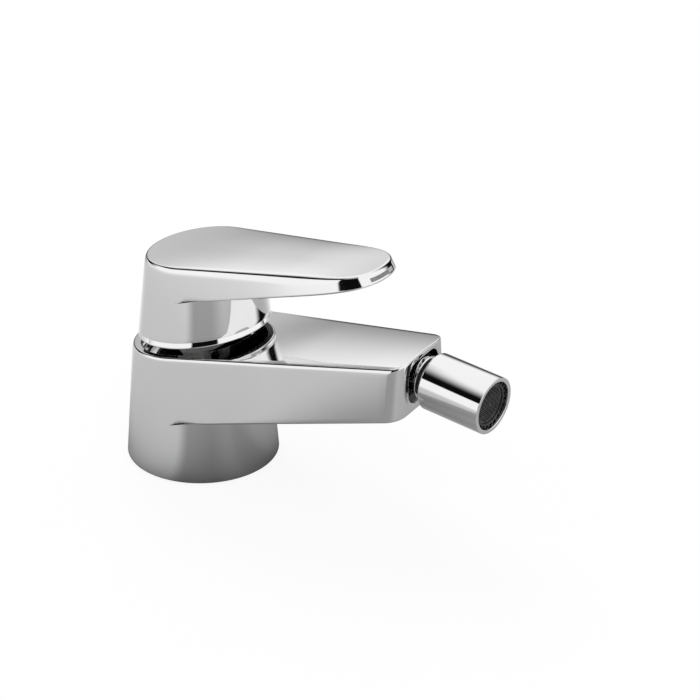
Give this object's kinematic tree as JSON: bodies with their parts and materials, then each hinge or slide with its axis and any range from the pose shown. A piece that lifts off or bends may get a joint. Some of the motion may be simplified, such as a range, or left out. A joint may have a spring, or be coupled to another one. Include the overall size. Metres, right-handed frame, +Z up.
{
  "type": "bidet mixer",
  "caption": "Deck-mounted single-lever bidet mixer in chrome with a conical column, wedge spout and ball-jointed swivel nozzle.",
  "frame": {"origin": "centre of the foot, on the deck face that the mixer stands on", "axes": "+Z up from the deck, +X along the spout, +Y to the left of a person facing along +X"},
  "size_m": [0.1352, 0.05, 0.0828],
  "materials": {
    "chrome": "polished",
    "brass": "machined",
    "steel": "bright",
    "black_rubber": "matt",
    "black_plastic": "moulded satin",
    "white_plastic": "moulded satin",
    "ceramic": "lapped",
    "grey_plastic": "gloss",
    "dark_mark": "enamel",
    "pale_mark": "enamel"
  },
  "bodies": {
    "body": {"mixer_body": "chrome", "base_gasket": "black_rubber", "cartridge_base": "white_plastic", "port_seals": "black_rubber", "fixed_disc": "ceramic", "cartridge_housing": "white_plastic", "retaining_nut": "brass", "cover_ring": "chrome", "socket_ring": "chrome", "socket_seal": "black_rubber"},
    "turn": {"lever_guide": "white_plastic", "pivot_pin": "steel"},
    "lever": {"lever_handle": "chrome", "lever_stem": "steel", "grub_screw": "steel", "screw_plug": "grey_plastic", "warm_mark": "dark_mark", "cool_mark": "pale_mark"},
    "disc": {"disc_carrier": "white_plastic", "moving_disc": "ceramic"},
    "swivel": {"ball_seat": "white_plastic"},
    "nozzle": {"swivel_ball": "chrome", "nozzle_collar": "chrome", "collar_seal": "black_rubber", "nozzle_sleeve": "chrome", "aerator_washer": "black_rubber", "flow_regulator": "white_plastic", "aerator_housing": "black_plastic", "inner_screen": "steel", "outlet_screen": "black_plastic"}
  },
  "joints": [
    {"name": "lever_turn", "type": "hinge", "parent": "body", "child": "turn", "pos_m": [0, 0, 0.04245], "axis": [-0.1719, 0, 0.9851], "range_deg": [-48, 48]},
    {"name": "lever_lift", "type": "hinge", "parent": "turn", "child": "lever", "pos_m": [-0.00137, 0, 0.05033], "axis": [0, -1, 0], "range_deg": [0, 18]},
    {"name": "disc_slide", "type": "slide", "parent": "turn", "child": "disc", "axis": [0.9851, 0, 0.1719], "range_m": [0, 0.0041]},
    {"name": "nozzle_swivel", "type": "hinge", "parent": "body", "child": "swivel", "pos_m": [0.08, 0, 0.04917], "axis": [1, 0, 0], "continuous": true},
    {"name": "nozzle_tilt", "type": "hinge", "parent": "swivel", "child": "nozzle", "pos_m": [0.08, 0, 0.04917], "axis": [0, -0.5606, 0.8281], "range_deg": [-1.4, 16.6]}
  ],
  "couplings": [
    {"joint": "disc_slide", "follows": "lever_lift", "m_per_rad": 0.01279}
  ]
}
